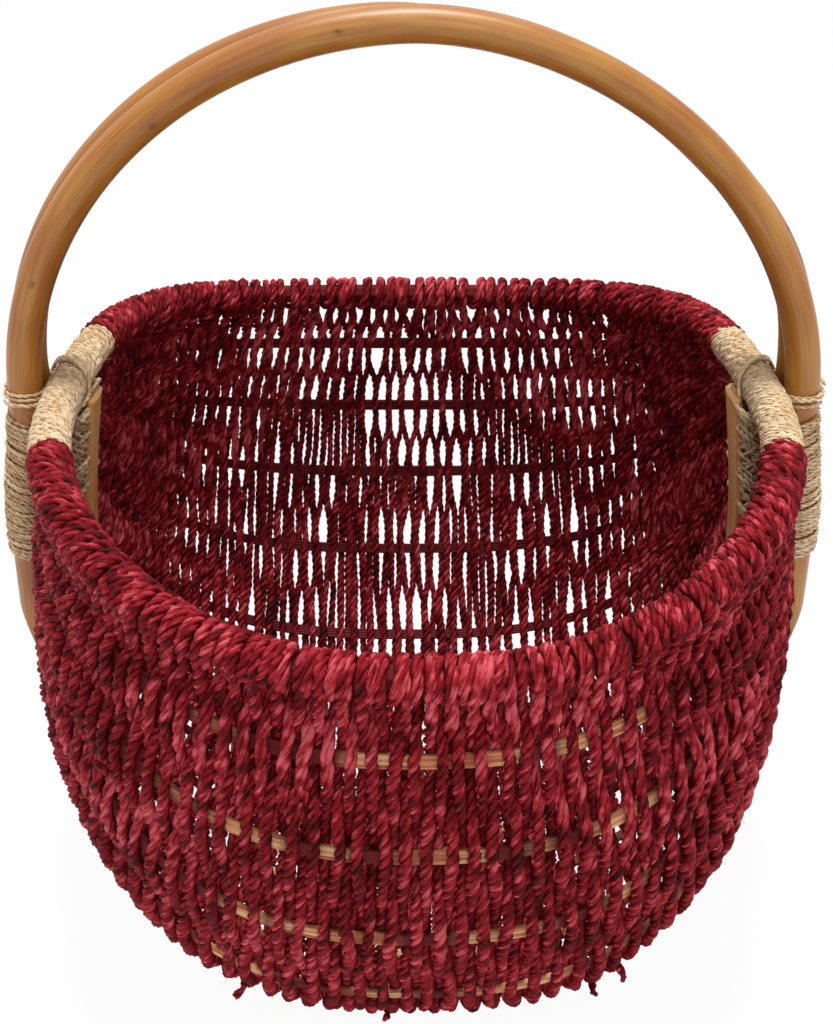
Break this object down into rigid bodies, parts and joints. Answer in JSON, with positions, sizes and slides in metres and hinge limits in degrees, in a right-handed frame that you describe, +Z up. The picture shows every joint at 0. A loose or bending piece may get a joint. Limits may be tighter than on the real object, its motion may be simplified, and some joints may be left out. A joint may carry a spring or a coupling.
{
  "type": "rattan market basket",
  "caption": "Hand-woven market basket: a cord wall woven over split-cane ribs on a bent hoop, with an arched cane handle lashed to its sides.",
  "frame": {"origin": "on the ground under the middle of the ears, at the flat of the base", "axes": "+Z up, +X from the left ear to the right ear of the handle, -Y towards the front of the basket"},
  "size_m": [0.4654, 0.4541, 0.5171],
  "materials": {
    "crimson_cord": "two-ply twisted grass cord, dyed crimson, dry and slightly frayed",
    "split_cane": "split cane, undyed, dry",
    "rattan": "bent rattan cane, honey coloured, satin lacquer",
    "sisal": "twisted natural sisal, hairy and matt"
  },
  "bodies": {
    "root": {"rim_hoop": "rattan", "woven_wall": "crimson_cord", "rib_front_1": "split_cane", "rib_front_2": "split_cane", "rib_front_3": "split_cane", "rib_front_4": "split_cane", "rib_front_5": "split_cane", "rib_front_6": "split_cane", "rib_front_7": "split_cane", "rib_keel": "split_cane", "rib_back_7": "split_cane", "rib_back_6": "split_cane", "rib_back_5": "split_cane", "rib_back_4": "split_cane", "rib_back_3": "split_cane", "rib_back_2": "split_cane", "rib_back_1": "split_cane", "rim_wrap_front": "crimson_cord", "rim_wrap_back": "crimson_cord", "rim_sisal_left": "sisal", "rim_sisal_right": "sisal", "handle_cane_front": "rattan", "handle_cane_back": "rattan", "inner_splint_left": "split_cane", "inner_splint_right": "split_cane", "leg_lashing_left": "sisal", "leg_lashing_right": "sisal", "splint_lashing_left": "sisal", "splint_lashing_right": "sisal"}
  },
  "joints": []
}
